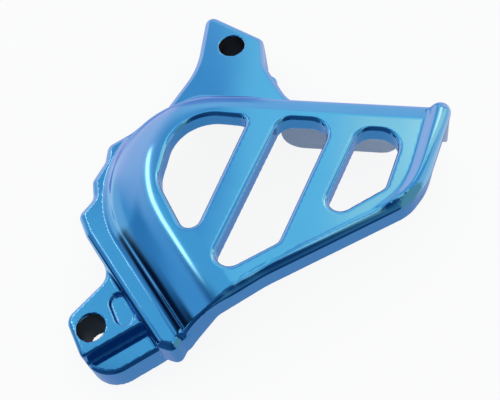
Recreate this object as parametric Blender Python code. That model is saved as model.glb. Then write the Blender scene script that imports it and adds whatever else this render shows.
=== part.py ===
"""Motorcycle sprocket cover, a one-piece plated casting that bolts over the front sprocket.

All sizes are in millimetres and MM turns them into Blender's metres. Plan positions are measured
from the axis of the lower bolt bore and heights from the engine's mounting plane, with +Z pointing
out through the face. The finished cover hangs on an empty that puts its origin at SEAT_POINT.
"""
import math

import bmesh
import bpy

MM = 0.001

SEAT_POINT = (0.0, 8.0)    # origin of the finished cover, on the lower lug's rear seat

# Heights above the mounting plane, each outer face set from the one before it.
LUG_HEIGHT = 19.5          # outer faces of both bolt lugs
LEDGE_DROP = 6.5           # lowered ledge on the lower lug, below its face
FLANGE_RISE = 2.5          # scalloped flange round the left side, above the lugs
SWEEP_RISE = 10.0          # main slotted face, above the flange
LEDGE_HEIGHT = LUG_HEIGHT - LEDGE_DROP
FLANGE_HEIGHT = LUG_HEIGHT + FLANGE_RISE
FACE_HEIGHT = FLANGE_HEIGHT + SWEEP_RISE

# Rear rims: those over the chain are walls of a set depth, the others stand off the engine.
LOWER_WALL_DEPTH = 12.0    # lower wall, from the face back to its rim
RIGHT_WALL_DEPTH = 7.5     # wall under the right-hand bead, from the face back to its rim
LOWER_RIM_HEIGHT = FACE_HEIGHT - LOWER_WALL_DEPTH
RIGHT_RIM_HEIGHT = FACE_HEIGHT - RIGHT_WALL_DEPTH
RIM_HEIGHT = 7.5           # rim of the flange and of the band's end
SKIRT_RIM_HEIGHT = 6.5     # rim of the upper skirt, right of its tab
ARCH_HEIGHT = 12.5         # rim of the upper skirt behind the first slot
TAB_HEIGHT = -4.6          # lowest edge of the chain guard tab on the upper skirt

# Wall thicknesses and edge radii.
WALL = 3.0
FLANGE_EDGE = 2.6
LOWER_LUG_EDGE = 1.4
UPPER_LUG_EDGE = 2.8
ROLL = 4.0                 # roll-over of the face into the lower and right walls
TOP_ROLL = 6.0             # roll-over of the face into the upper wall
CREST_ANGLE = 78.0         # the sweep meets the face at a faint crest, short of a full quarter

# Bolt bores.
BORE_DIAMETER = 11.0
LOWER_BORE = (0.0, 0.0)
UPPER_BORE = (30.3, 134.9)

# Slots through the face.
SLOT_DEPTH = 8.5           # from the face to the rear edge of each slot's collar
SLOT_RIM = 1.8             # radius of the rolled rim round each slot
SLOT_DRAFT = 0.02          # extra flare at each step of the rolled rim, so no step stands upright
COLLAR = 2.4               # thickness of the collar round each slot

# Obround pocket in the lower lug.
POCKET_CENTRE = (10.0, 8.6)
POCKET_LENGTH = 13.6
POCKET_WIDTH = 7.6
POCKET_DEPTH = 2.2
POCKET_ANGLE = -57.0

# Rear post beside the upper lug.
POST_CENTRE = (47.2, 121.2)
POST_RADIUS = 4.4
POST_HEIGHT = 12.0
UPPER_BOSS_RADIUS = 9.6

# Bead along the right-hand edge of the face: plan position and half width.
BEAD_PATH = ((120.9, 97.8, 4.3), (120.0, 93.0, 4.1), (118.1, 83.0, 3.5),
             (116.2, 74.0, 3.0), (113.9, 67.0, 2.6), (110.4, 61.0, 2.0))
BEAD_CROWN = 1.6           # height of the bead's crown above the face
BEAD_HALF_HEIGHT = 3.7     # from the crown down to the bead's buried centre line

# Line across the lower lug where its ledge starts.
LEDGE_LINE = ((2.2, -9.7), (19.6, 4.2))

# Where the upper lug runs into the skirt: how many of its corners lie inside the body and how
# far the lug's hollow reaches past them.
ROOT_CORNERS = 4
ROOT_REACH = 8.0

SKIRT_FACE = 103.0         # outer face of the upper skirt, in Y
SKIRT_LAP = 0.4            # how much thicker the skirt is than the wall above it
RIGHT_END = 124.8          # right-hand end of the upper edge and of the skirt, in X
MIN_RADIUS = 0.3           # smallest corner that an inset outline keeps
FACE_INSET = 0.35          # share of the wall by which the cavity's top outline is inset
REAR = 8.0                 # how far the cavities run past the mounting plane
CLEAR = 5.0                # how far other cutters run past a face
RIM_GAP = 0.3              # how far the rims' cutters stop short of the skirt
FAR = 60.0                 # reach of cutters that run right across the cover

# Outlines are corners with a radius each, counter-clockwise in plan.
# Wall corners: x, y, radius, height where the wall starts to roll over, arc steps.
BODY_WALL = (
    (36.5, -1.0, 1.5, FLANGE_HEIGHT - 1.0, 3),
    (47.5, 9.6, 20.0, FACE_HEIGHT - ROLL, 3),
    (63.0, 22.6, 60.0, FACE_HEIGHT - ROLL, 3),
    (112.5, 56.6, 18.0, FACE_HEIGHT - ROLL, 5),
    (118.4, 67.5, 28.0, FACE_HEIGHT - ROLL, 4),
    (RIGHT_END, SKIRT_FACE, 2.5, FACE_HEIGHT - TOP_ROLL, 5),
    (6.6, SKIRT_FACE, 35.0, FLANGE_HEIGHT - 1.0, 10),
    (-14.3, 56.0, 43.1, FLANGE_HEIGHT - 1.0, 12),
)
# Face corners in the same order: x, y, radius.
BODY_FACE = (
    (45.6, 16.1, 0.4),
    (47.0, 16.2, 0.4),
    (60.8, 26.2, 20.0),
    (109.1, 59.6, 15.0),
    (114.3, 68.9, 20.0),
    (119.8, 97.0, 2.0),
    (12.6, 97.0, 26.0),
    (12.0, 54.4, 43.0),
)
FLANGE = (
    (27.0, -5.1, 0.8), (33.5, -6.3, 3.2), (38.7, 6.0, 3.0), (22.0, 40.0, 8.0),
    (12.0, 70.0, 8.0), (22.0, 96.0, 3.0), (5.0, 96.5, 1.0), (0.6, 89.4, 6.0),
    (-12.3, 78.4, 4.5), (-11.6, 70.6, 5.0), (-14.7, 61.0, 3.6), (-12.2, 53.0, 5.0),
    (-16.4, 45.2, 3.4), (-11.0, 36.6, 12.0),
)
# Lug outlines are measured from their own bore.
LOWER_LUG = (
    (1.0, 20.0, 7.0), (-10.8, 2.4, 5.0), (4.7, -20.1, 11.6), (25.4, -3.5, 0.8),
    (33.0, 4.0, 2.0), (6.0, 33.0, 3.0), (-3.0, 31.0, 2.0),
)
UPPER_LUG = (
    (28.0, -25.6, 14.0), (16.4, -9.4, 18.0), (13.2, 5.0, 4.4), (-14.6, 18.4, 3.6),
    (-13.6, -12.6, 40.0), (-24.0, -38.0, 3.0), (-14.0, -44.0, 3.0), (30.0, -36.0, 3.0),
    (45.7, -32.9, 2.0),
)
SLOTS = (
    ((33.4, 33.4, 4.1), (46.6, 90.0, 3.6), (17.0, 91.2, 18.0), (15.4, 58.6, 16.0)),
    ((40.2, 16.9, 5.4), (66.4, 36.1, 4.0), (80.8, 90.6, 7.5), (59.4, 90.6, 6.5)),
    ((78.8, 43.3, 4.7), (102.9, 62.1, 4.5), (108.0, 87.6, 8.0), (90.8, 87.6, 6.5)),
)
# Upper skirt with its chain guard tab, seen along Y: x, z and corner radius.
SKIRT_EDGE = (
    (54.2, ARCH_HEIGHT + 6.0, 0.5), (57.0, TAB_HEIGHT, 9.0), (104.4, TAB_HEIGHT, 7.5),
    (105.4, SKIRT_RIM_HEIGHT, 0.5), (RIGHT_END, SKIRT_RIM_HEIGHT, 0.5),
    (RIGHT_END, ARCH_HEIGHT + 6.0, 0.5),
)
# Rear rim below the band's end and the lower wall, seen along Y: x, z.
LOWER_RIM_EDGE = (
    (33.4, RIM_HEIGHT - 2.0), (34.2, RIM_HEIGHT), (47.0, LOWER_RIM_HEIGHT),
    (117.5, LOWER_RIM_HEIGHT), (121.5, RIGHT_RIM_HEIGHT), (140.0, RIGHT_RIM_HEIGHT),
    (140.0, RIM_HEIGHT - 2.0),
)
# Arch that clears the upper skirt and the root of the upper lug, seen along X: y, z.
ARCH_EDGE = (
    (88.0, RIM_HEIGHT - 9.0), (94.0, ARCH_HEIGHT), (100.5, ARCH_HEIGHT), (114.0, -10.0),
)


def clear_scene():
    for obj in list(bpy.data.objects):
        bpy.data.objects.remove(obj, do_unlink=True)


def make_collection(name):
    collection = bpy.data.collections.new(name)
    bpy.context.scene.collection.children.link(collection)
    return collection


def unit(x, y):
    length = math.hypot(x, y)
    return x / length, y / length


def turn(before, corner, after):
    """Signed turning angle at a corner, positive to the left."""
    ax, ay = unit(corner[0] - before[0], corner[1] - before[1])
    bx, by = unit(after[0] - corner[0], after[1] - corner[1])
    return math.atan2(ax * by - ay * bx, ax * bx + ay * by)


def rounded(corners, steps):
    """Points along a polygon whose corners are arcs; steps gives the segments of each arc."""
    points = []
    count = len(corners)
    for i, corner in enumerate(corners):
        before = corners[i - 1]
        after = corners[(i + 1) % count]
        angle = turn(before, corner, after)
        reach = corner[2] * math.tan(abs(angle) / 2)
        ax, ay = unit(corner[0] - before[0], corner[1] - before[1])
        side = math.copysign(1.0, angle)
        start = (corner[0] - ax * reach, corner[1] - ay * reach)
        centre = (start[0] - side * ay * corner[2], start[1] + side * ax * corner[2])
        first = math.atan2(start[1] - centre[1], start[0] - centre[0])
        for k in range(steps[i] + 1):
            a = first + angle * k / steps[i]
            points.append((centre[0] + corner[2] * math.cos(a),
                           centre[1] + corner[2] * math.sin(a)))
    return points


def offset(corners, distance):
    """Polygon corners moved outwards by distance, with their radii kept concentric."""
    moved = []
    count = len(corners)
    for i, corner in enumerate(corners):
        before = corners[i - 1]
        after = corners[(i + 1) % count]
        angle = turn(before, corner, after)
        ax, ay = unit(corner[0] - before[0], corner[1] - before[1])
        bx, by = unit(after[0] - corner[0], after[1] - corner[1])
        mx, my = ay + by, -ax - bx
        scale = distance / (1 + ax * bx + ay * by)
        grow = math.copysign(distance, angle) if distance > 0 else -math.copysign(-distance, angle)
        radius = max(corner[2] + grow, MIN_RADIUS)
        moved.append((corner[0] + mx * scale, corner[1] + my * scale, radius) + corner[3:])
    return moved


def arc_steps(corners):
    """Segments for each corner's arc, by its radius and turning angle."""
    steps = []
    count = len(corners)
    for i, corner in enumerate(corners):
        angle = abs(turn(corners[i - 1], corner, corners[(i + 1) % count]))
        steps.append(max(2, min(10, round(angle * math.sqrt(corner[2]) * 2.2))))
    return steps


def loft(name, rings, collection):
    """Closed solid through rings of equal point counts, bottom first."""
    bm = bmesh.new()
    rows = [[bm.verts.new((x * MM, y * MM, z * MM)) for x, y, z in ring] for ring in rings]
    count = len(rows[0])
    for low, high in zip(rows, rows[1:]):
        for i in range(count):
            j = (i + 1) % count
            bm.faces.new((low[i], low[j], high[j], high[i]))
    bm.faces.new(list(reversed(rows[0])))
    bm.faces.new(rows[-1])
    bmesh.ops.remove_doubles(bm, verts=bm.verts, dist=0.00002)
    mesh = bpy.data.meshes.new(name)
    bm.to_mesh(mesh)
    bm.free()
    obj = bpy.data.objects.new(name, mesh)
    collection.objects.link(obj)
    return obj


def flat_ring(corners, steps, z):
    return [(x, y, z) for x, y in rounded(corners, steps)]


def curve_to_mesh(obj, collection):
    """Closed mesh object in place of a curve object."""
    depsgraph = bpy.context.evaluated_depsgraph_get()
    mesh = bpy.data.meshes.new_from_object(obj.evaluated_get(depsgraph))
    bm = bmesh.new()
    bm.from_mesh(mesh)
    bmesh.ops.remove_doubles(bm, verts=bm.verts, dist=0.00002)
    bmesh.ops.recalc_face_normals(bm, faces=bm.faces)
    bm.to_mesh(mesh)
    bm.free()
    solid = bpy.data.objects.new(obj.name + "_solid", mesh)
    solid.matrix_world = obj.matrix_world
    collection.objects.link(solid)
    bpy.data.objects.remove(obj, do_unlink=True)
    return solid


def plate(name, points, z_low, z_high, collection):
    """Outline extruded from z_low to z_high."""
    curve = bpy.data.curves.new(name, "CURVE")
    curve.dimensions = "2D"
    curve.fill_mode = "BOTH"
    curve.extrude = (z_high - z_low) / 2 * MM
    spline = curve.splines.new("POLY")
    spline.points.add(len(points) - 1)
    for point, (x, y) in zip(spline.points, points):
        point.co = (x * MM, y * MM, 0.0, 1.0)
    spline.use_cyclic_u = True
    obj = bpy.data.objects.new(name, curve)
    obj.location.z = (z_low + z_high) / 2 * MM
    collection.objects.link(obj)
    bpy.context.view_layer.update()
    return curve_to_mesh(obj, collection)


def edged_plate(name, corners, z_low, z_high, edge, collection, edge_steps=4):
    """Plate with a rounded upper edge of radius edge."""
    steps = arc_steps(corners)
    rings = [flat_ring(corners, steps, z_low)]
    for k in range(edge_steps + 1):
        phi = math.radians(90.0 * k / edge_steps)
        shrunk = offset(corners, -edge * (1 - math.cos(phi)))
        rings.append(flat_ring(shrunk, steps, z_high - edge * (1 - math.sin(phi))))
    return loft(name, rings, collection)


def upright_plate(name, edge_points, low, high, across, collection):
    """Outline drawn in X and Z and extruded along Y, or in Y and Z along X if across is X."""
    obj = plate(name, edge_points, low, high, collection)
    obj.data.transform(obj.matrix_world)
    obj.matrix_world.identity()
    for vertex in obj.data.vertices:
        along, height, depth = vertex.co
        vertex.co = (depth, along, height) if across == "X" else (along, depth, height)
    bm = bmesh.new()
    bm.from_mesh(obj.data)
    bmesh.ops.recalc_face_normals(bm, faces=bm.faces)
    bm.to_mesh(obj.data)
    bm.free()
    return obj


def cylinder(name, centre, radius, z_low, z_high, collection, sides=48):
    bpy.ops.mesh.primitive_cylinder_add(
        vertices=sides, radius=radius * MM, depth=(z_high - z_low) * MM,
        location=(centre[0] * MM, centre[1] * MM, (z_low + z_high) / 2 * MM))
    obj = bpy.context.object
    obj.name = name
    for owner in list(obj.users_collection):
        owner.objects.unlink(obj)
    collection.objects.link(obj)
    return obj


def boolean(target, operation, tool):
    modifier = target.modifiers.new(operation.title() + " " + tool.name, "BOOLEAN")
    modifier.operation = operation
    modifier.solver = "EXACT"
    modifier.object = tool
    tool.hide_render = True
    tool.display_type = "WIRE"


def bake(obj):
    """Object's mesh replaced by the result of its modifiers."""
    depsgraph = bpy.context.evaluated_depsgraph_get()
    mesh = bpy.data.meshes.new_from_object(obj.evaluated_get(depsgraph))
    obj.modifiers.clear()
    obj.data = mesh
    return obj


def body_rings(inset, z_base, arc_count=8):
    """Rings of the body from its rear rim up the wall, over the sweep and onto the face."""
    steps = [corner[4] for corner in BODY_WALL]
    wall = offset(BODY_WALL, -inset)
    face = offset([corner + (0.0, 0.0) for corner in BODY_FACE], -inset * FACE_INSET)
    top = FACE_HEIGHT - inset
    full_u = 1 - math.cos(math.radians(CREST_ANGLE))
    full_v = math.sin(math.radians(CREST_ANGLE))
    wall_points = rounded(wall, steps)
    face_points = rounded(face, steps)
    starts = [corner[3] - inset for corner in wall for _ in range(corner[4] + 1)]
    rings = [[(x, y, z_base) for x, y in wall_points]]
    for k in range(arc_count + 1):
        phi = math.radians(CREST_ANGLE * k / arc_count)
        u = (1 - math.cos(phi)) / full_u
        v = math.sin(phi) / full_v
        rings.append([(w[0] + (f[0] - w[0]) * u, w[1] + (f[1] - w[1]) * u, z + (top - z) * v)
                      for w, f, z in zip(wall_points, face_points, starts)])
    return rings


def make_cavities(collection):
    """Hollow insides of the body and of its flange, open to the rear."""
    cavity = loft("cavity", body_rings(WALL, -REAR), collection)
    inner = offset(FLANGE, -WALL)
    flange_cavity = plate("flange_cavity", rounded(inner, arc_steps(FLANGE)), -REAR,
                          FLANGE_HEIGHT - WALL, collection)
    return cavity, flange_cavity


def make_body(collection):
    body = loft("body", body_rings(0.0, RIM_HEIGHT), collection)
    flange = edged_plate("flange", FLANGE, RIM_HEIGHT, FLANGE_HEIGHT, FLANGE_EDGE, collection)
    boolean(body, "UNION", flange)
    return bake(body)


def lug_corners(outline, bore):
    return [(x + bore[0], y + bore[1], r) for x, y, r in outline]


def make_lower_lug(collection):
    corners = lug_corners(LOWER_LUG, LOWER_BORE)
    lug = edged_plate("lower_lug", corners, 0.0, LUG_HEIGHT, LOWER_LUG_EDGE, collection)
    dx, dy = unit(LEDGE_LINE[1][0] - LEDGE_LINE[0][0], LEDGE_LINE[1][1] - LEDGE_LINE[0][1])
    (ax, ay), (bx, by) = LEDGE_LINE
    ledge_points = [
        (ax - dx * FAR, ay - dy * FAR),
        (ax - dx * FAR + dy * FAR, ay - dy * FAR - dx * FAR),
        (bx + dx * FAR + dy * FAR, by + dy * FAR - dx * FAR),
        (bx + dx * FAR, by + dy * FAR)]
    ledge = plate("ledge", ledge_points, LEDGE_HEIGHT, LUG_HEIGHT + CLEAR, collection)
    pocket = plate("pocket", obround(POCKET_CENTRE, POCKET_LENGTH, POCKET_WIDTH, POCKET_ANGLE),
                   LUG_HEIGHT - POCKET_DEPTH, LUG_HEIGHT + CLEAR, collection)
    boolean(lug, "DIFFERENCE", ledge)
    boolean(lug, "DIFFERENCE", pocket)
    return bake(lug)


def obround(centre, length, width, angle, steps=8):
    """Outline with two round ends, its long axis at angle degrees from X."""
    radius = width / 2
    reach = length / 2 - radius
    tilt = math.radians(angle)
    points = []
    for side in (1, -1):
        for k in range(steps + 1):
            a = tilt + (0 if side == 1 else math.pi) - math.pi / 2 + math.pi * k / steps
            points.append((centre[0] + side * reach * math.cos(tilt) + radius * math.cos(a),
                           centre[1] + side * reach * math.sin(tilt) + radius * math.sin(a)))
    return points


def make_upper_lug(collection):
    corners = lug_corners(UPPER_LUG, UPPER_BORE)
    lug = edged_plate("upper_lug", corners, 0.0, LUG_HEIGHT, UPPER_LUG_EDGE, collection)
    inner = offset(corners, -WALL)
    root = len(inner) - ROOT_CORNERS
    inner[root:] = [(x, y - ROOT_REACH, r) for x, y, r in inner[root:]]
    hollow = plate("upper_lug_hollow", rounded(inner, arc_steps(corners)), -CLEAR,
                   LUG_HEIGHT - WALL, collection)
    boss = cylinder("upper_boss", UPPER_BORE, UPPER_BOSS_RADIUS, 0.0, LUG_HEIGHT - WALL / 2,
                    collection)
    post = cylinder("rear_post", POST_CENTRE, POST_RADIUS, 0.0, POST_HEIGHT, collection, 32)
    boolean(lug, "DIFFERENCE", hollow)
    boolean(lug, "UNION", boss)
    boolean(lug, "UNION", post)
    return bake(lug)


def bead_ring(centre, along, half_width, half_height, sides=16):
    """Upright elliptical ring, seen counter-clockwise by someone whom the bead runs towards."""
    height = FACE_HEIGHT + BEAD_CROWN - BEAD_HALF_HEIGHT
    ring = []
    for k in range(sides):
        a = 2 * math.pi * k / sides
        ring.append((centre[0] - along[1] * half_width * math.cos(a),
                     centre[1] + along[0] * half_width * math.cos(a),
                     height + half_height * math.sin(a)))
    return ring


def make_bead(collection):
    """Bead lofted through ellipses whose width follows its path, with domed ends."""
    headings = [unit(b[0] - a[0], b[1] - a[1]) for a, b in zip(BEAD_PATH, BEAD_PATH[1:])]
    alongs = [headings[0]]
    alongs += [unit(a[0] + b[0], a[1] + b[1]) for a, b in zip(headings, headings[1:])]
    alongs.append(headings[-1])
    domes = [math.radians(a) for a in (80.0, 60.0, 40.0, 20.0)]
    rings = []
    for theta in domes:
        rings.append(dome_ring(BEAD_PATH[0], alongs[0], -1.0, theta))
    for (x, y, half_width), along in zip(BEAD_PATH, alongs):
        rings.append(bead_ring((x, y), along, half_width, BEAD_HALF_HEIGHT))
    for theta in reversed(domes):
        rings.append(dome_ring(BEAD_PATH[-1], alongs[-1], 1.0, theta))
    return loft("bead", rings, collection)


def dome_ring(end, along, side, theta):
    """Ring of a domed end, theta round from the end's full section towards its tip."""
    x, y, half_width = end
    reach = side * half_width * math.sin(theta)
    return bead_ring((x + along[0] * reach, y + along[1] * reach), along,
                     half_width * math.cos(theta), BEAD_HALF_HEIGHT * math.cos(theta))


def slot_cutter(name, corners, collection):
    """Cutter that follows the slot's wall and flares at the face for the rolled rim."""
    steps = arc_steps(corners)
    rings = [flat_ring(corners, steps, FACE_HEIGHT - SLOT_DEPTH - CLEAR)]
    flare_steps = 4
    for k in range(flare_steps + 1):
        phi = math.radians(90.0 * k / flare_steps)
        out = SLOT_RIM * (1 - math.cos(phi)) + SLOT_DRAFT * k
        z = FACE_HEIGHT - SLOT_RIM * (1 - math.sin(phi))
        rings.append(flat_ring(offset(corners, out), steps, z))
    top = offset(corners, SLOT_RIM + SLOT_DRAFT * (flare_steps + 1))
    rings.append(flat_ring(top, steps, FACE_HEIGHT + CLEAR))
    return loft(name, rings, collection)


def make_cover(parts, cutters):
    cover = make_body(cutters)
    cover.name = "sprocket_cover"
    for lug in (make_lower_lug(cutters), make_upper_lug(cutters)):
        boolean(cover, "UNION", lug)
    for cavity in make_cavities(cutters):
        boolean(cover, "DIFFERENCE", cavity)
    skirt_back = SKIRT_FACE - WALL - SKIRT_LAP
    skirt = upright_plate("skirt", rounded(SKIRT_EDGE, [3, 6, 6, 2, 2, 2]), skirt_back, SKIRT_FACE,
                          "Y", cutters)
    for tool in (make_bead(cutters), skirt):
        boolean(cover, "UNION", tool)
    for i, corners in enumerate(SLOTS):
        collar = offset(corners, COLLAR)
        boolean(cover, "UNION",
                plate("collar_%d" % (i + 1), rounded(collar, arc_steps(corners)),
                      FACE_HEIGHT - SLOT_DEPTH, FACE_HEIGHT - WALL / 2, cutters))
    boolean(cover, "DIFFERENCE",
            upright_plate("lower_rim_cut", LOWER_RIM_EDGE, -FAR, skirt_back - RIM_GAP, "Y",
                          cutters))
    boolean(cover, "DIFFERENCE",
            upright_plate("arch", ARCH_EDGE, -FAR, SKIRT_EDGE[0][0] + RIM_GAP, "X", cutters))
    for i, corners in enumerate(SLOTS):
        boolean(cover, "DIFFERENCE", slot_cutter("slot_%d" % (i + 1), corners, cutters))
    for name, bore in (("lower_bore", LOWER_BORE), ("upper_bore", UPPER_BORE)):
        boolean(cover, "DIFFERENCE",
                cylinder(name, bore, BORE_DIAMETER / 2, -CLEAR, LUG_HEIGHT + CLEAR, cutters))
    cutters.objects.unlink(cover)
    parts.objects.link(cover)
    return cover


def plated_metal():
    material = bpy.data.materials.new("blue_plated_metal")
    material.use_nodes = True
    shader = material.node_tree.nodes["Principled BSDF"]
    shader.inputs["Base Color"].default_value = (0.06, 0.36, 0.66, 1.0)
    shader.inputs["Metallic"].default_value = 1.0
    shader.inputs["Roughness"].default_value = 0.08
    return material


def main():
    clear_scene()
    parts = make_collection("Sprocket cover")
    cutters = make_collection("Cutters")
    cover = make_cover(parts, cutters)
    cover.data.materials.clear()
    cover.data.materials.append(plated_metal())
    for obj in cutters.objects:
        obj.hide_render = True
        obj.display_type = "WIRE"
    origin = bpy.data.objects.new("seat_origin", None)
    origin.location = (-SEAT_POINT[0] * MM, -SEAT_POINT[1] * MM, 0.0)
    cutters.objects.link(origin)
    for obj in list(parts.objects) + list(cutters.objects):
        if obj is not origin:
            obj.parent = origin


main()
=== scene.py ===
"""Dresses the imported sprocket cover: a smooth chrome-like skin, studio light and the camera."""
import math

import bpy
import numpy as np
from mathutils import Matrix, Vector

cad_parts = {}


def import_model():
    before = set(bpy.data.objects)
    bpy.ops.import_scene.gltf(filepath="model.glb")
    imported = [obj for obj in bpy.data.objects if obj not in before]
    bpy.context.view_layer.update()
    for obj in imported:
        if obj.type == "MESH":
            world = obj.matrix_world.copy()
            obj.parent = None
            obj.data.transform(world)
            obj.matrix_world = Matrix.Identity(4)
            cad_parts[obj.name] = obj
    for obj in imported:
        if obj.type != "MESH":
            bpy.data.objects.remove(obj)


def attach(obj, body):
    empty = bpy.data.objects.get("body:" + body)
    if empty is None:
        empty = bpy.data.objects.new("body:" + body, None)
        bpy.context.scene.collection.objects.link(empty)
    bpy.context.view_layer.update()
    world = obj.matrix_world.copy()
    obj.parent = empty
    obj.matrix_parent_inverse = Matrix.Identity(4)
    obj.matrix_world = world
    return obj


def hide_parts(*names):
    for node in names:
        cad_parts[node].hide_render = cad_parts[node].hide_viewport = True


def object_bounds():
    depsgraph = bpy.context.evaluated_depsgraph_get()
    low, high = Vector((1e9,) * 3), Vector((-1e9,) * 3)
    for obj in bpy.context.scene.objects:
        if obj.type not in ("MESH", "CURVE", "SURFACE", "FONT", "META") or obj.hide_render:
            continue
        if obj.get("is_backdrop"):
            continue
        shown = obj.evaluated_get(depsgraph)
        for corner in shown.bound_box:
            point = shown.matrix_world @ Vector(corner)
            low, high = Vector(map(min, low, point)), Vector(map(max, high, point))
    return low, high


MM = 0.001
LUG, STEP, FLANGE_Z, FACE, RIM, SKIRT_RIM = 19.5, 13.0, 22.0, 32.0, 7.5, 6.5
LOWER_RIM, RIGHT_RIM, TAB_Z, ARCH_Z, WALL = 20.0, 24.5, -4.6, 12.5, 3.0
SKIRT_Y, SKIRT_THICK, RIGHT_END = 103.0, 3.4, 124.8
SEAT_Y = 8.0
UPPER_BORE = (30.3, 134.9)
BORE_RADIUS, BOSS_RADIUS = 5.5, 9.6
POST, POST_RADIUS, POST_TOP = (47.2, 121.2), 4.4, 12.0
# Collar round each slot behind the face: width and the height of its rear face.
COLLAR, COLLAR_Z = 2.4, 23.5
SLOT_RIM = 1.8
# Grid of the mesh, and the depth below the lug face from which a bore's wall gets painted shade;
# the rim above it stays chrome.
GRID = 0.76
BORE_SHADE_DEPTH = 0.5


class Outline:
    """Signed distance to a polygon with rounded corners, exact on its runs and arcs."""

    def __init__(self, corners):
        self.lines, self.arcs = [], []
        pts = [np.array(c[:2], float) for c in corners]
        n = len(pts)
        ends = []
        for i in range(n):
            d1 = pts[i] - pts[i - 1]
            d2 = pts[(i + 1) % n] - pts[i]
            d1 /= np.linalg.norm(d1)
            d2 /= np.linalg.norm(d2)
            angle = math.atan2(d1[0] * d2[1] - d1[1] * d2[0], float(d1 @ d2))
            side = 1.0 if angle >= 0 else -1.0
            r = corners[i][2]
            reach = r * math.tan(abs(angle) / 2)
            start, end = pts[i] - d1 * reach, pts[i] + d2 * reach
            centre = start + side * r * np.array([-d1[1], d1[0]])
            mid = pts[i] - centre
            ends.append((start, end))
            self.arcs.append((centre, r, side, mid / (np.linalg.norm(mid) + 1e-12),
                              math.cos(abs(angle) / 2)))
        for i in range(n):
            a, b = ends[i][1], ends[(i + 1) % n][0]
            length = float(np.linalg.norm(b - a))
            if length > 1e-6:
                self.lines.append((a, (b - a) / length, length))

    def __call__(self, x, y):
        best = None
        sign_d = None
        for a, d, length in self.lines:
            px, py = x - a[0], y - a[1]
            t = np.clip(px * d[0] + py * d[1], 0.0, length)
            qx, qy = px - t * d[0], py - t * d[1]
            dist = np.sqrt(qx * qx + qy * qy)
            s = np.where(d[0] * py - d[1] * px > 0, -1.0, 1.0)
            if best is None:
                best, sign_d = dist, s
            else:
                near = dist < best - 1e-9
                best, sign_d = np.where(near, dist, best), np.where(near, s, sign_d)
        for c, r, side, mid, cosine in self.arcs:
            px, py = x - c[0], y - c[1]
            rad = np.sqrt(px * px + py * py) + 1e-12
            inside = (px * mid[0] + py * mid[1]) >= cosine * rad
            dist = np.where(inside, np.abs(rad - r), 1e9)
            s = np.where((rad - r) * side > 0, 1.0, -1.0)
            near = dist <= best
            best, sign_d = np.where(near, dist, best), np.where(near, s, sign_d)
        return best * sign_d


def shift(corners, move):
    return [(x + move[0], y + move[1], r) for x, y, r in corners]


def grown(corners, distance):
    """Corners moved outwards by distance, radii kept concentric."""
    out = []
    n = len(corners)
    for i, c in enumerate(corners):
        b, a = np.array(corners[i - 1][:2]), np.array(corners[(i + 1) % n][:2])
        p = np.array(c[:2])
        d1, d2 = (p - b) / np.linalg.norm(p - b), (a - p) / np.linalg.norm(a - p)
        angle = math.atan2(d1[0] * d2[1] - d1[1] * d2[0], float(d1 @ d2))
        m = np.array([d1[1] + d2[1], -d1[0] - d2[0]]) * distance / (1 + float(d1 @ d2))
        out.append((p[0] + m[0], p[1] + m[1],
                    max(c[2] + (distance if angle > 0 else -distance), 0.3)))
    return out


# Whole outer wall, with its left side pushed out so that the sweep alone shapes that side.
WALL_OUT = Outline([(36.5, -1.0, 1.0), (47.5, 9.6, 20.0), (63.0, 22.6, 60.0),
                    (112.5, 56.6, 18.0), (118.4, 67.5, 28.0), (RIGHT_END, SKIRT_Y, 2.5),
                    (-60.0, SKIRT_Y, 5.0), (-60.0, -1.0, 5.0)])
# Foot of the sweep, run on past the lower and right walls, and the crest above it.
FOOT = Outline([(96.0, -67.8, 1.0), (200.0, 0.0, 1.0), (200.0, SKIRT_Y, 1.0),
                (6.6, SKIRT_Y, 35.0), (-14.3, 56.0, 43.1)])
CREST = Outline([(96.0, -41.3, 1.0), (170.0, 0.0, 1.0), (170.0, 97.0, 1.0),
                 (12.6, 97.0, 26.0), (12.0, 54.4, 43.0)])
LIP = Outline([(44.0, 10.5, 1.0), (55.0, 20.5, 6.0), (75.2, 36.2, 8.0), (94.6, 49.4, 8.0),
               (104.5, 55.6, 12.0), (113.3, 66.0, 14.0), (116.0, 94.0, 4.0),
               (140.0, 140.0, 4.0), (-80.0, 140.0, 4.0), (-80.0, -60.0, 4.0)])
FLANGE_C = [(27.0, -5.1, 0.8), (33.5, -6.3, 3.2), (38.7, 6.0, 3.0), (22.0, 40.0, 8.0),
            (12.0, 70.0, 8.0), (22.0, 96.0, 3.0), (5.0, 96.5, 1.0), (0.6, 89.4, 6.0),
            (-12.3, 78.4, 4.5), (-11.6, 70.6, 5.0), (-14.7, 61.0, 3.6), (-12.2, 53.0, 5.0),
            (-16.4, 45.2, 3.4), (-11.0, 36.6, 12.0)]
FLANGE = Outline(FLANGE_C)
LOWER_LUG = Outline([(1.0, 20.0, 7.0), (-10.8, 2.4, 5.0), (4.7, -20.1, 11.6),
                     (25.4, -3.5, 0.8), (33.0, 4.0, 2.0), (6.0, 33.0, 3.0), (-3.0, 31.0, 2.0)])
UPPER_C = shift([(28.0, -25.6, 14.0), (16.4, -9.4, 18.0), (13.2, 5.0, 4.4), (-14.6, 18.4, 3.6),
                 (-13.6, -12.6, 40.0), (-24.0, -38.0, 3.0), (-14.0, -44.0, 3.0),
                 (30.0, -36.0, 3.0), (45.7, -32.9, 2.0)], UPPER_BORE)
UPPER_LUG = Outline(UPPER_C)
UPPER_IN_C = grown(UPPER_C, -WALL)
UPPER_IN = Outline([(x, y - (8.0 if i >= 5 else 0.0), r)
                    for i, (x, y, r) in enumerate(UPPER_IN_C)])
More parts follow.
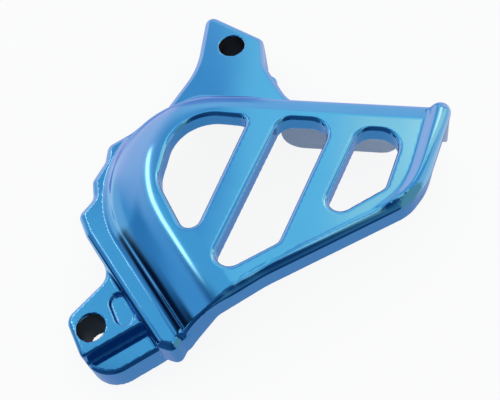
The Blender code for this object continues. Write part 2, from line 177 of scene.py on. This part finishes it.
SLOTS = [Outline(c) for c in (
    ((33.4, 33.4, 4.1), (46.6, 90.0, 3.6), (17.0, 91.2, 18.0), (15.4, 58.6, 16.0)),
    ((40.2, 16.9, 5.4), (66.4, 36.1, 4.0), (80.8, 90.6, 7.5), (59.4, 90.6, 6.5)),
    ((78.8, 43.3, 4.7), (102.9, 62.1, 4.5), (108.0, 87.6, 8.0), (90.8, 87.6, 6.5)))]
SKIRT = Outline([(54.2, ARCH_Z + 6.0, 0.5), (57.0, TAB_Z, 9.0), (104.4, TAB_Z, 7.5),
                 (105.4, SKIRT_RIM, 0.5), (RIGHT_END, SKIRT_RIM, 0.5),
                 (RIGHT_END, ARCH_Z + 13.0, 0.5), (54.2, ARCH_Z + 13.0, 0.5)])
LOWER_CUT = Outline([(33.4, -30.0, 1.0), (34.2, RIM, 1.0), (47.0, LOWER_RIM, 3.0),
                     (117.5, LOWER_RIM, 3.0), (121.5, RIGHT_RIM, 1.0), (160.0, RIGHT_RIM, 1.0),
                     (160.0, -30.0, 1.0)][::-1])
ARCH = Outline([(85.0, -30.0, 1.0), (120.0, -30.0, 1.0), (108.0, 0.0, 1.0),
                (100.5, ARCH_Z, 1.0), (94.0, ARCH_Z, 1.0), (92.0, RIM, 1.0)])
POCKET = ((10.0, 8.6), 13.6, 7.6, -57.0, 2.2)
# Bead: plan position, half width and height of its crown above the face.
BEAD = ((120.9, 97.8, 4.1, 1.6), (119.3, 88.5, 3.8, 1.6), (117.7, 79.5, 3.4, 1.5),
        (115.6, 71.0, 3.1, 1.2), (113.2, 64.8, 2.9, 0.8), (109.5, 59.2, 2.7, 0.2),
        (103.5, 54.7, 2.5, -0.6), (96.5, 50.0, 2.3, -1.8))
BEAD_HALF = 3.7


def both(a, b, r):
    """Intersection with a rounded convex edge of radius r."""
    u, v = np.maximum(a + r, 0.0), np.maximum(b + r, 0.0)
    return np.minimum(np.maximum(a, b), -r) + np.sqrt(u * u + v * v)


def either(a, b, r):
    """Union with a rounded concave corner of radius r."""
    return -both(-a, -b, r)


def smooth(x, low, high):
    t = np.clip((x - low) / (high - low), 0.0, 1.0)
    return t * t * (3 - 2 * t)


CREST_ANGLE = math.radians(71.0)
U, V = 1 - math.cos(CREST_ANGLE), math.sin(CREST_ANGLE)


def face_height(x, y):
    """Height of the slotted face: flat, eased down to the upper edge, with a low lip."""
    drop = 0.16 * np.logaddexp(0.0, (y - 93.8) / 0.35) * 0.35
    lip = 0.5 * smooth(LIP(x, y), -0.2, 1.3) * smooth(y, 14.0, 20.0)
    return FACE - drop + lip


def body(x, y, z):
    """The sweep, the face and the walls, as one solid without its flange."""
    a, b = np.clip(-FOOT(x, y), -6.0, None), np.clip(CREST(x, y), -6.0, None)
    width = np.maximum(a + b, 4.0)
    t = a / width
    start = 21.0 + 5.0 * smooth(x, 8.0, 50.0) * smooth(y, 60.0, 90.0)
    rise = FACE - start
    q1 = np.maximum(1 - U * t, 0.0)
    q2 = np.maximum(V * (z - start) / rise, 0.0)
    q = np.sqrt(q1 * q1 + q2 * q2) + 1e-9
    slope = np.sqrt((q1 * U / width) ** 2 + (q2 * V / rise) ** 2) / q + 1e-9
    sweep = np.clip((q - 1) / slope, -8.0, 8.0)
    top = z - face_height(x, y)
    upper = both(sweep, top, 4.0)
    roll = 1.3 + 2.9 * smooth(x, 44.0, 56.0)
    return both(upper, WALL_OUT(x, y), roll)


def bead(x, y, z):
    """Rounded bead of elliptical section that thins out towards its lower end."""
    pts = np.array(BEAD)
    t = np.linspace(0, 1, len(pts))
    fine = np.linspace(0, 1, 33)
    px, py, pw, ph = (np.polyval(np.polyfit(t, pts[:, k], 5), fine) for k in range(4))
    best = None
    for i in range(len(fine) - 1):
        ax, ay, dx, dy = px[i], py[i], px[i + 1] - px[i], py[i + 1] - py[i]
        s = np.clip(((x - ax) * dx + (y - ay) * dy) / (dx * dx + dy * dy), 0.0, 1.0)
        w = pw[i] + (pw[i + 1] - pw[i]) * s
        crown = np.minimum(ph[i] + (ph[i + 1] - ph[i]) * s, 1.6)
        v = (z - (FACE + crown - BEAD_HALF)) / BEAD_HALF
        u = np.sqrt((x - ax - s * dx) ** 2 + (y - ay - s * dy) ** 2) / w
        k = np.sqrt(u * u + v * v) + 1e-9
        d = (k - 1) * k / np.sqrt((u / w) ** 2 + (v / BEAD_HALF) ** 2 + 1e-9)
        best = d if best is None else np.minimum(best, d)
    return best


def pin(x, y, centre, radius):
    """Distance to a round column that stands on the plan."""
    return np.sqrt((x - centre[0]) ** 2 + (y - centre[1]) ** 2) - radius


def capsule(x, y):
    (cx, cy), length, width, angle, _ = POCKET
    ux, uy = math.cos(math.radians(angle)), math.sin(math.radians(angle))
    reach = (length - width) / 2
    s = np.clip((x - cx) * ux + (y - cy) * uy, -reach, reach)
    return np.sqrt((x - cx - s * ux) ** 2 + (y - cy - s * uy) ** 2) - width / 2


def lower_lug(x, y, z):
    (ax, ay), (bx, by) = (2.2, -9.7), (19.6, 4.2)
    length = math.hypot(bx - ax, by - ay)
    beyond = ((x - ax) * (by - ay) - (y - ay) * (bx - ax)) / length
    low = either(z - STEP, beyond, 1.0)
    top = both(z - LUG, low, 0.8)
    lug = both(top, LOWER_LUG(x, y), 1.4)
    pocket = either(-capsule(x, y), z - (LUG - POCKET[4]), 0.8)
    return both(lug, pocket, 0.6)


def hollow(x, y, z):
    """Everything cored out from behind, before the slots' collars are put back."""
    inner = body(x, y, z) + WALL
    flange = np.maximum(FLANGE(x, y) + WALL, z - (FLANGE_Z - WALL))
    upper = np.maximum(UPPER_IN(x, y), z - (LUG - WALL))
    boss = pin(x, y, UPPER_BORE, BOSS_RADIUS)
    post = pin(x, y, POST, POST_RADIUS)
    upper = both(both(upper, -boss, 0.8), -post, 0.8)
    shell = np.minimum(inner, flange)
    for slot in SLOTS:
        collar = np.maximum(slot(x, y) - COLLAR, COLLAR_Z - z)
        shell = both(shell, -collar, 0.8)
    return np.minimum(shell, upper)


def cover(x, y, z):
    flange = both(z - FLANGE_Z, FLANGE(x, y), 2.6)
    main = either(body(x, y, z), flange, 2.6)
    main = either(main, bead(x, y, z), 0.5 + 1.5 * smooth(y, 54.0, 68.0))
    main = both(main, RIM - z, 0.6)
    low_cut = np.maximum(LOWER_CUT(x, z), y - (SKIRT_Y - SKIRT_THICK - 0.3))
    main = both(main, -low_cut, 0.6)
    lug_l = both(lower_lug(x, y, z), -z, 0.5)
    lug_u = both(both(z - LUG, UPPER_LUG(x, y), 2.8), -z, 0.5)
    post = both(both(pin(x, y, POST, POST_RADIUS), z - POST_TOP, 0.6), -z, 0.5)
    solid = either(main, lug_l, 0.7)
    fillet = 0.7 + 7.3 * smooth(x, 6.0, 22.0) * smooth(z, 12.0, 18.0)
    solid = either(solid, lug_u, fillet)
    solid = either(solid, post, 0.6)
    arch = np.maximum(ARCH(y, z), x - 54.6)
    solid = both(solid, -arch, 0.6)
    slab = np.abs(y - (SKIRT_Y - SKIRT_THICK / 2)) - SKIRT_THICK / 2
    skirt = both(SKIRT(x, z), slab, 0.6)
    for slot in SLOTS:
        solid = both(solid, -slot(x, y), SLOT_RIM)
    solid = both(solid, -hollow(x, y, z), 0.5)
    solid = either(solid, skirt, 0.5)
    for centre in ((0.0, 0.0), UPPER_BORE):
        solid = both(solid, -pin(x, y, centre, BORE_RADIUS), 0.45)
    return solid


def gradient(field, p, h=0.02):
    x, y, z = p.T
    return np.stack([(field(x + h, y, z) - field(x - h, y, z)) / (2 * h),
                     (field(x, y + h, z) - field(x, y - h, z)) / (2 * h),
                     (field(x, y, z + h) - field(x, y, z - h)) / (2 * h)], axis=1)


def polygonise(field, low, high, step):
    """Quads of the zero surface of field, one vertex to each grid cell that it crosses."""
    axes = [np.arange(a, b + step, step) for a, b in zip(low, high)]
    x, y, z = (a.reshape([-1 if k == i else 1 for k in range(3)]) for i, a in enumerate(axes))
    f = np.asarray(field(x, y, z), float)
    inside = f < 0
    shape = np.array(f.shape) - 1
    total = np.zeros(tuple(shape) + (3,))
    count = np.zeros(tuple(shape))
    ends = [slice(None, -1), slice(1, None)]
    crossings = []
    for k in range(3):
        near = [slice(None)] * 3
        far = [slice(None)] * 3
        near[k], far[k] = ends
        fa, fb = f[tuple(near)], f[tuple(far)]
        cross = inside[tuple(near)] != inside[tuple(far)]
        where = np.argwhere(cross)
        ratio = (fa[cross] / (fa[cross] - fb[cross]))
        point = where.astype(float)
        point[:, k] += ratio
        crossings.append((where, inside[tuple(near)][cross]))
        i, j = [m for m in range(3) if m != k]
        for di in (0, 1):
            for dj in (0, 1):
                cell = where.copy()
                cell[:, i] -= di
                cell[:, j] -= dj
                ok = np.all((cell >= 0) & (cell < shape), axis=1)
                c = cell[ok]
                np.add.at(total, (c[:, 0], c[:, 1], c[:, 2]), point[ok])
                np.add.at(count, (c[:, 0], c[:, 1], c[:, 2]), 1)
    used = count > 0
    index = np.full(tuple(shape), -1)
    index[used] = np.arange(int(used.sum()))
    verts = total[used] / count[used][:, None] * step + np.array([a[0] for a in axes])
    quads = []
    for k, (where, starts_inside) in enumerate(crossings):
        i, j = (k + 1) % 3, (k + 2) % 3
        ids = []
        for di, dj in ((1, 1), (0, 1), (0, 0), (1, 0)):
            cell = where.copy()
            cell[:, i] -= di
            cell[:, j] -= dj
            ids.append(index[cell[:, 0], cell[:, 1], cell[:, 2]])
        quad = np.stack(ids, axis=1)
        flip = ~starts_inside
        quad[flip] = quad[flip][:, ::-1]
        quads.append(quad)
    return verts, np.concatenate(quads)


def settle(field, verts, rounds=3):
    """Vertices drawn onto the zero surface, and the unit normals there."""
    p = verts.copy()
    for _ in range(rounds):
        g = gradient(field, p)
        value = field(*p.T)
        move = value[:, None] * g / (np.sum(g * g, axis=1)[:, None] + 1e-9)
        length = np.linalg.norm(move, axis=1)[:, None]
        p = p - move * np.minimum(1.0, 0.5 * GRID / (length + 1e-9))
    g = gradient(field, p)
    return p, g / (np.linalg.norm(g, axis=1)[:, None] + 1e-9)


def build_cover(low, high):
    step = GRID * 1.0
    verts, quads = polygonise(cover, (-17.6, -18.4, -6.4), (127.6, 156.4, 35.4), step)
    points, normals = settle(cover, verts)
    mesh = bpy.data.meshes.new("cover_skin")
    placed = np.clip((points - (0.0, SEAT_Y, 0.0)) * MM, low, high)
    mesh.from_pydata(placed.tolist(), [], quads.tolist())
    mesh.validate()
    mesh.shade_smooth()
    inner = np.abs(hollow(*points.T)) < 0.3
    back = SKIRT_Y - SKIRT_THICK
    x, y, z = points.T
    behind = np.abs(y - back) < 0.5
    behind &= (z < 27.0) & (x > 54.0) & (normals[:, 1] < -0.5)
    beside_slot = np.min([np.abs(slot(x, y)) for slot in SLOTS], axis=0) < 0.8
    dull = (inner & (normals[:, 2] < 0.6) & ~beside_slot) | behind
    mesh.normals_split_custom_set_from_vertices(normals.tolist())
    corners = np.array([p.vertices[:] for p in mesh.polygons])
    share = dull[corners].sum(axis=1)
    # faces deep in the bores take the near-black material, painted shade
    bore_shade = np.minimum(pin(x, y, (0.0, 0.0), BORE_RADIUS),
                       pin(x, y, UPPER_BORE, BORE_RADIUS)) < 0.1
    bore_shade &= z < LUG - BORE_SHADE_DEPTH
    slots = np.where(share >= 2, 1, 0)
    slots = np.where(bore_shade[corners].sum(axis=1) >= 3, 2, slots)
    mesh.polygons.foreach_set("material_index", slots.astype(np.int32))
    obj = bpy.data.objects.new("cover_skin", mesh)
    bpy.context.scene.collection.objects.link(obj)
    return obj


def node_material(name):
    mat = bpy.data.materials.new(name)
    mat.use_nodes = True
    tree = mat.node_tree
    return mat, tree, tree.nodes["Principled BSDF"]


def two_tone(tree, shader, source, dark, light):
    """Base colour between two tones, led by the source node's factor."""
    ramp = tree.nodes.new("ShaderNodeValToRGB")
    ramp.color_ramp.elements[0].color = dark + (1,)
    ramp.color_ramp.elements[1].color = light + (1,)
    tree.links.new(source.outputs["Fac"], ramp.inputs["Fac"])
    tree.links.new(ramp.outputs["Color"], shader.inputs["Base Color"])


def chrome():
    """Transparent blue plating over bright metal, slightly cloudy."""
    mat, tree, shader = node_material("blue_plating")
    nodes, links = tree.nodes, tree.links
    coords = nodes.new("ShaderNodeTexCoord")
    noise = nodes.new("ShaderNodeTexNoise")
    noise.inputs["Scale"].default_value = 60.0
    noise.inputs["Detail"].default_value = 3.0
    links.new(coords.outputs["Object"], noise.inputs["Vector"])
    two_tone(tree, shader, noise, (0.052, 0.37, 0.66), (0.070, 0.42, 0.72))
    rough = nodes.new("ShaderNodeMapRange")
    rough.inputs["To Min"].default_value = 0.06
    rough.inputs["To Max"].default_value = 0.11
    links.new(noise.outputs["Fac"], rough.inputs["Value"])
    links.new(rough.outputs["Result"], shader.inputs["Roughness"])
    shader.inputs["Metallic"].default_value = 1.0
    shader.inputs["Specular Tint"].default_value = (0.80, 0.78, 1.0, 1)
    shader.inputs["Coat Weight"].default_value = 1.0
    shader.inputs["Coat Roughness"].default_value = 0.03
    shader.inputs["Coat IOR"].default_value = 1.5
    return mat


def cast_inside():
    """Dull, fine-grained skin of the hollow side."""
    mat, tree, shader = node_material("cast_inside")
    nodes, links = tree.nodes, tree.links
    coords = nodes.new("ShaderNodeTexCoord")
    noise = nodes.new("ShaderNodeTexNoise")
    noise.inputs["Scale"].default_value = 420.0
    noise.inputs["Detail"].default_value = 6.0
    bump = nodes.new("ShaderNodeBump")
    bump.inputs["Strength"].default_value = 0.15
    bump.inputs["Distance"].default_value = 0.0004
    links.new(coords.outputs["Object"], noise.inputs["Vector"])
    two_tone(tree, shader, noise, (0.42, 0.52, 0.66), (0.52, 0.62, 0.76))
    links.new(noise.outputs["Fac"], bump.inputs["Height"])
    links.new(bump.outputs["Normal"], shader.inputs["Normal"])
    shader.inputs["Metallic"].default_value = 0.1
    shader.inputs["Roughness"].default_value = 0.5
    return mat


def bore_painted_shade():
    """Near-black wall of the bores, painted shade for the dark inside of the deep bores, with fine
    bands along them.
    """
    mat, tree, shader = node_material("bore_painted_shade")
    nodes, links = tree.nodes, tree.links
    coords = nodes.new("ShaderNodeTexCoord")
    wave = nodes.new("ShaderNodeTexWave")
    wave.bands_direction = "Z"
    wave.inputs["Scale"].default_value = 700.0
    links.new(coords.outputs["Object"], wave.inputs["Vector"])
    two_tone(tree, shader, wave, (0.006, 0.005, 0.006), (0.016, 0.014, 0.016))
    shader.inputs["Roughness"].default_value = 0.6
    return mat


def studio():
    """Light tent: a pale half beyond the object, a dark half on the camera's side, and strips.

    Only glossy rays see the tent's parts. Camera rays see white and all others a plain pale dome.
    """
    world = bpy.data.worlds.new("studio")
    bpy.context.scene.world = world
    world.use_nodes = True
    tree = world.node_tree
    nodes, links = tree.nodes, tree.links
    coords = nodes.new("ShaderNodeTexCoord")
    split = nodes.new("ShaderNodeSeparateXYZ")
    links.new(coords.outputs["Generated"], split.inputs["Vector"])
    x, y, z = (split.outputs[k] for k in "XYZ")

    def plug(socket, value):
        if isinstance(value, (int, float, tuple)):
            socket.default_value = value
        else:
            links.new(value, socket)

    def calc(operation, *values):
        node = nodes.new("ShaderNodeMath")
        node.operation = operation
        for socket, value in zip(node.inputs, values):
            plug(socket, value)
        return node.outputs[0]

    def along(ax, ay, az=0.0, shift_by=0.0):
        """Direction's reach along the given vector."""
        total = calc("MULTIPLY_ADD", x, ax, shift_by)
        total = calc("MULTIPLY_ADD", y, ay, total)
        return calc("MULTIPLY_ADD", z, az, total)

    def ease(value, low, high):
        node = nodes.new("ShaderNodeMapRange")
        node.interpolation_type = "SMOOTHSTEP"
        plug(node.inputs["Value"], value)
        node.inputs["From Min"].default_value = low
        node.inputs["From Max"].default_value = high
        return node.outputs["Result"]

    def band(value, centre, half, soft):
        """One inside the band and nought outside it, with soft edges."""
        off = calc("ABSOLUTE", calc("SUBTRACT", value, centre))
        return calc("SUBTRACT", 1.0, ease(off, half, half + soft))

    def times(*factors):
        total = factors[0]
        for factor in factors[1:]:
            total = calc("MULTIPLY", total, factor)
        return total

    def blend(factor, first, second):
        node = nodes.new("ShaderNodeMix")
        node.data_type = "RGBA"
        plug(node.inputs["Factor"], factor)
        for name, value in (("A", first), ("B", second)):
            plug(node.inputs[name], value + (1.0,) if isinstance(value, tuple) else value)
        return node.outputs["Result"]

    # the dark half on the camera's side, paler low on the left
    tent = blend(ease(x, -0.1, 0.2), (0.06, 0.12, 0.25), (0.03, 0.07, 0.16))
    tent = blend(times(ease(x, 0.45, 0.75), ease(y, -0.9, -0.6), ease(z, -0.1, 0.1)), tent,
                 (0.18, 0.26, 0.36))
    tent = blend(times(ease(x, -0.35, -0.60), ease(z, -0.05, -0.2), ease(y, -0.55, -0.3)), tent,
                 (0.70, 0.85, 1.0))
    black = times(ease(x, -0.62, -0.72), band(y, -0.17, 0.17, 0.05), ease(z, -0.1, 0.05))
    tent = blend(black, tent, (0.01, 0.01, 0.03))
    # the pale half beyond the object
    pale = blend(times(ease(y, 0.15, 0.55), ease(x, -0.38, -0.55)), (0.43, 0.58, 0.81),
                 (1.9, 0.93, 1.04))
    pale = blend(times(ease(y, 0.58, 0.75), ease(x, -0.55, -0.38)), pale, (1.05, 0.86, 0.98))
    pale = blend(times(ease(y, 0.55, 0.75), ease(x, 0.05, 0.45)), pale, (2.1, 0.92, 1.0))
    pale = blend(times(ease(y, 0.82, 0.92), band(x, -0.35, 0.13, 0.06)), pale, (0.55, 0.48, 0.78))
    pale = blend(times(ease(y, 0.45, 0.25), ease(x, -0.85, -0.95)), pale, (0.90, 0.80, 0.92))
    pale = blend(times(ease(y, 0.50, 0.40), band(x, -0.25, 0.12, 0.05)), pale, (0.52, 0.74, 0.90))
    pale = blend(ease(x, 0.65, 0.85), pale, (1.15, 0.92, 0.96))
    low = blend(ease(x, 0.1, 0.5), (0.40, 0.55, 0.83), (1.6, 1.06, 1.0))
    low = blend(ease(y, 0.80, 0.92), low, (0.85, 0.74, 0.96))
    low = blend(ease(x, -0.6, -0.85), low, (1.2, 1.05, 1.05))
    pale = blend(ease(z, 0.05, -0.15), pale, low)
    right = calc("MAXIMUM", along(0.9, 0.0, 0.0, -0.045), 0.0)
    edge = calc("MULTIPLY_ADD", ease(x, 0.0, 0.15), -0.19, right)
    lit = ease(calc("ADD", y, edge), -0.20, -0.04)
    low_right = times(ease(y, 0.02, -0.10), ease(x, 0.2, 0.4))
    pale = blend(low_right, pale, (0.58, 0.53, 0.49))
    tent = blend(lit, tent, pale)
    tent = blend(ease(z, -0.60, -0.78), tent, (0.30, 0.42, 0.60))
    # dark zone overhead, open towards the camera's side
    over = times(ease(x, -0.46, -0.38), ease(x, 0.12, 0.04), ease(along(1.0, 1.0), 0.19, 0.11),
                 ease(y, 0.31, 0.24), ease(z, 0.0, 0.3))
    deep = blend(ease(y, 0.15, -0.15), (0.12, 0.20, 0.36), (0.05, 0.10, 0.20))
    tent = blend(over, tent, deep)
    # grey fold that the middle of the sweep shows
    fold = times(band(along(0.75, -0.66), -0.59, 0.02, 0.07), ease(x, -0.50, -0.62),
                 ease(x, -0.98, -0.88), ease(z, 0.2, 0.4))
    tent = blend(times(fold, 0.8), tent, (0.18, 0.34, 0.56))
    # panels that the slotted face shows, brighter to the right, with a strip along them
    high = ease(z, 0.1, 0.3)
    tent = blend(times(ease(x, -0.235, -0.19), ease(x, 0.35, 0.15), band(y, 0.53, 0.13, 0.05),
                       high), tent, (0.90, 1.04, 1.06))
    tent = blend(times(ease(x, 0.16, 0.25), ease(x, 0.90, 0.70), band(y, 0.46, 0.05, 0.04), high),
                 tent, (2.1, 1.32, 1.03))
    tent = blend(times(band(x, -0.03, 0.03, 0.06), band(y, 0.49, 0.09, 0.05), high), tent,
                 (1.9, 1.30, 1.06))
    tent = blend(times(ease(x, -0.04, 0.05), ease(x, 0.40, 0.28), band(y, 0.56, 0.03, 0.03), high),
                 tent, (4.8, 2.1, 1.45))
    # left softbox, long and narrow
    run, side = along(0.345, -0.939, 0.0, 0.523), along(0.939, 0.345, 0.0, 0.263)
    soft = times(band(run, 0.0, 0.10, 0.05), band(side, 0.0, 0.005, 0.017), ease(z, 0.4, 0.6))
    tent = blend(soft, tent, (7.0, 4.0, 3.0))
    # kickers low on the left and towards the lower right
    left_kick = times(band(x, -0.88, 0.11, 0.04), band(y, -0.46, 0.07, 0.04), ease(z, -0.05, 0.05))
    tent = blend(left_kick, tent, (0.70, 0.85, 0.98))
    reach, off = along(0.743, -0.669), along(0.669, 0.743)
    pole = times(ease(reach, -0.08, 0.0), ease(reach, 0.60, 0.40), band(off, 0.15, 0.03, 0.04),
                 high)
    tent = blend(pole, tent, blend(ease(reach, 0.2, 0.35), (1.7, 1.28, 1.1), (0.8, 0.62, 0.54)))

    back = nodes["Background"]
    back.inputs["Strength"].default_value = 1.0
    links.new(tent, back.inputs["Color"])
    plain = nodes.new("ShaderNodeBackground")
    plain.inputs["Color"].default_value = (0.86, 0.88, 0.92, 1)
    white = nodes.new("ShaderNodeBackground")
    white.inputs["Color"].default_value = (1, 1, 1, 1)
    path = nodes.new("ShaderNodeLightPath")
    shiny = nodes.new("ShaderNodeMixShader")
    links.new(path.outputs["Is Glossy Ray"], shiny.inputs["Fac"])
    links.new(plain.outputs["Background"], shiny.inputs[1])
    links.new(back.outputs["Background"], shiny.inputs[2])
    seen = nodes.new("ShaderNodeMixShader")
    links.new(path.outputs["Is Camera Ray"], seen.inputs["Fac"])
    links.new(shiny.outputs["Shader"], seen.inputs[1])
    links.new(white.outputs["Background"], seen.inputs[2])
    links.new(seen.outputs["Shader"], nodes["World Output"].inputs["Surface"])


def floor(level):
    """Plain pale floor: near white with a faint shadow to the camera, and clear to glossy rays."""
    mesh = bpy.data.meshes.new("floor")
    half = 3.0
    mesh.from_pydata([(-half, -half, level), (half, -half, level), (half, half, level),
                      (-half, half, level)], [], [(0, 1, 2, 3)])
    obj = bpy.data.objects.new("floor", mesh)
    bpy.context.scene.collection.objects.link(obj)
    mat, tree, shader = node_material("floor_white")
    nodes, links = tree.nodes, tree.links
    shader.inputs["Base Color"].default_value = (0.86, 0.86, 0.86, 1)
    shader.inputs["Roughness"].default_value = 0.8
    glow = nodes.new("ShaderNodeEmission")
    glow.inputs["Color"].default_value = (1, 1, 1, 1)
    clear = nodes.new("ShaderNodeBsdfTransparent")
    path = nodes.new("ShaderNodeLightPath")
    share = nodes.new("ShaderNodeMath")
    share.operation = "MULTIPLY"
    share.inputs[1].default_value = 0.88
    links.new(path.outputs["Is Camera Ray"], share.inputs[0])
    pick = nodes.new("ShaderNodeMixShader")
    links.new(share.outputs[0], pick.inputs["Fac"])
    links.new(shader.outputs["BSDF"], pick.inputs[1])
    links.new(glow.outputs["Emission"], pick.inputs[2])
    hide = nodes.new("ShaderNodeMixShader")
    links.new(path.outputs["Is Glossy Ray"], hide.inputs["Fac"])
    links.new(pick.outputs["Shader"], hide.inputs[1])
    links.new(clear.outputs["BSDF"], hide.inputs[2])
    links.new(hide.outputs["Shader"], nodes["Material Output"].inputs["Surface"])
    mesh.materials.append(mat)
    obj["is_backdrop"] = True


def camera():
    data = bpy.data.cameras.new("camera")
    data.sensor_width = 36.0
    data.lens = 904.0 / 500.0 * 36.0
    data.clip_start = 0.01
    obj = bpy.data.objects.new("camera", data)
    bpy.context.scene.collection.objects.link(obj)
    place = (0.118073, -0.110362 - SEAT_Y * MM, 0.302198 + LUG * MM)
    rows = [[CAMERA_TURN[r][0], -CAMERA_TURN[r][1], -CAMERA_TURN[r][2], place[r]]
            for r in range(3)]
    obj.matrix_world = Matrix(rows + [[0, 0, 0, 1]])
    bpy.context.scene.camera = obj


# Columns are the camera's right, down and forward directions in the row's axes.
CAMERA_TURN = ((0.978970, 0.072113, -0.190834), (0.157062, -0.863396, 0.479457),
               (-0.130190, -0.499347, -0.856565))


def main():
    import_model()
    cad_low, cad_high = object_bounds()
    skin = build_cover(cad_low, cad_high)
    skin.data.materials.append(chrome())
    skin.data.materials.append(cast_inside())
    # third material: near-black painted shade inside the bores
    skin.data.materials.append(bore_painted_shade())
    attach(skin, "root")
    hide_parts("sprocket_cover")
    studio()
    floor(cad_low.z - 0.0002)
    camera()
    scene = bpy.context.scene
    scene.view_settings.view_transform = "Standard"
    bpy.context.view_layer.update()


main()
